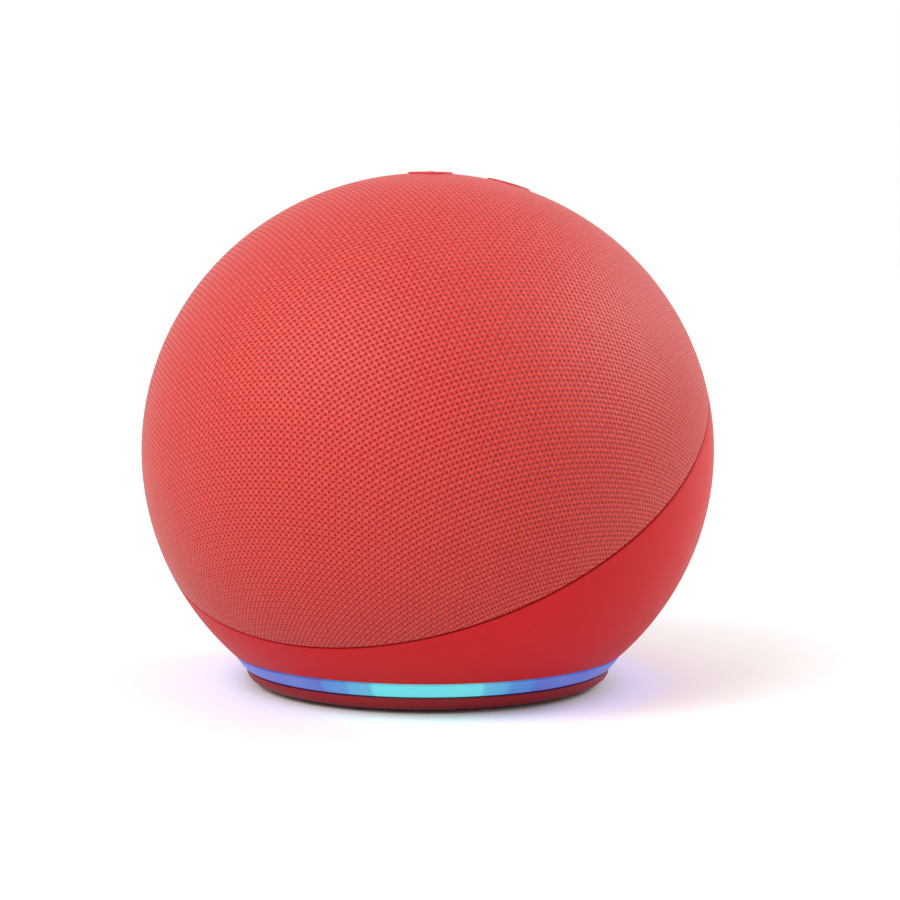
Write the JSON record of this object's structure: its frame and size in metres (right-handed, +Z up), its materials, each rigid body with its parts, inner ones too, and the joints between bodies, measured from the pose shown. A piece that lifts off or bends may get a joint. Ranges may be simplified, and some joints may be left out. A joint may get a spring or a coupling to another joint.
{
  "type": "smart speaker",
  "caption": "Ball-shaped smart speaker with a fabric dome, a plastic rear shell, a light ring in its base, push buttons on top, and a woofer and tweeters inside.",
  "frame": {"origin": "centre of the face it stands on", "axes": "+Z up; -Y is the front, where the woofer faces; the sockets are at +Y"},
  "size_m": [0.144, 0.144, 0.1291],
  "materials": {
    "fabric": "knitted coral-red acoustic fabric",
    "red_plastic": "satin moulded red plastic",
    "button_plastic": "satin moulded dark red plastic",
    "foot_rubber": "matte dark red rubber",
    "black_plastic": "moulded black plastic",
    "light_guide": "frosted translucent light guide",
    "foam": "closed-cell black foam",
    "circuit_board": "green solder mask",
    "steel": "zinc-plated steel",
    "aluminium": "bead-blasted aluminium",
    "ferrite": "sintered ferrite",
    "cone_paper": "pressed black paper pulp",
    "surround_rubber": "moulded butyl rubber",
    "copper": "enamelled copper wire",
    "spider_cloth": "resin-stiffened cotton",
    "silk": "coated silk",
    "ribbon_film": "amber polyimide film",
    "thermal_pad": "soft silicone pad"
  },
  "bodies": {
    "body": {"button_carrier": "black_plastic", "button_board": "circuit_board", "button_screw_1": "steel", "button_screw_2": "steel", "button_screw_3": "steel", "button_screw_4": "steel", "woofer_gasket": "foam", "woofer_basket": "steel", "woofer_top_plate": "steel", "woofer_magnet": "ferrite", "woofer_yoke": "steel", "woofer_spider": "spider_cloth", "woofer_surround": "surround_rubber", "woofer_screw_1": "steel", "woofer_screw_2": "steel", "woofer_screw_3": "steel", "woofer_screw_4": "steel", "tweeter_left_frame": "black_plastic", "tweeter_left_motor": "steel", "tweeter_right_frame": "black_plastic", "tweeter_right_motor": "steel", "fabric_cover": "fabric", "grille_dome": "black_plastic", "seam_gasket": "foam", "rear_shell": "red_plastic", "base_cover": "red_plastic", "foot_ring": "foot_rubber", "light_ring": "light_guide", "led_board": "circuit_board", "base_screw_1": "steel", "base_screw_2": "steel", "base_screw_3": "steel", "base_screw_4": "steel", "speaker_enclosure": "black_plastic", "main_board": "circuit_board", "processor_shield": "steel", "thermal_pad": "thermal_pad", "heat_sink": "aluminium", "frame_screw_1": "steel", "frame_screw_2": "steel", "frame_screw_3": "steel", "frame_screw_4": "steel", "jack_board": "circuit_board", "power_socket": "black_plastic", "audio_socket": "black_plastic", "button_ribbon": "ribbon_film", "led_ribbon": "ribbon_film"},
    "action_button": {"button_action": "button_plastic", "plunger_action": "black_plastic"},
    "volume_up_button": {"button_volume_up": "button_plastic", "plunger_volume_up": "black_plastic"},
    "volume_down_button": {"button_volume_down": "button_plastic", "plunger_volume_down": "black_plastic"},
    "microphone_off_button": {"button_microphone_off": "button_plastic", "plunger_microphone_off": "black_plastic"},
    "woofer_cone_assembly": {"woofer_cone": "cone_paper", "woofer_voice_coil": "copper", "woofer_dust_cap": "cone_paper"},
    "tweeter_left_diaphragm": {"tweeter_left_dome": "silk"},
    "tweeter_right_diaphragm": {"tweeter_right_dome": "silk"}
  },
  "joints": [
    {"name": "action_press", "type": "slide", "parent": "body", "child": "action_button", "axis": [0, -0.2101, -0.9777], "range_m": [0, 0.0005], "stiffness_N_per_m": 3000},
    {"name": "volume_up_press", "type": "slide", "parent": "body", "child": "volume_up_button", "axis": [0, -0.2101, -0.9777], "range_m": [0, 0.0005], "stiffness_N_per_m": 3000},
    {"name": "volume_down_press", "type": "slide", "parent": "body", "child": "volume_down_button", "axis": [0, -0.2101, -0.9777], "range_m": [0, 0.0005], "stiffness_N_per_m": 3000},
    {"name": "microphone_off_press", "type": "slide", "parent": "body", "child": "microphone_off_button", "axis": [0, -0.2101, -0.9777], "range_m": [0, 0.0005], "stiffness_N_per_m": 3000},
    {"name": "woofer_cone_travel", "type": "slide", "parent": "body", "child": "woofer_cone_assembly", "axis": [0, -0.9397, 0.342], "range_m": [-0.003, 0.003], "stiffness_N_per_m": 1200, "deforming": ["woofer_surround", "woofer_spider"]},
    {"name": "tweeter_left_travel", "type": "slide", "parent": "body", "child": "tweeter_left_diaphragm", "axis": [-0.9666, -0.241, 0.0872], "range_m": [-0.0003, 0.0003], "stiffness_N_per_m": 1000},
    {"name": "tweeter_right_travel", "type": "slide", "parent": "body", "child": "tweeter_right_diaphragm", "axis": [0.9666, -0.241, 0.0872], "range_m": [-0.0003, 0.0003], "stiffness_N_per_m": 1000}
  ]
}
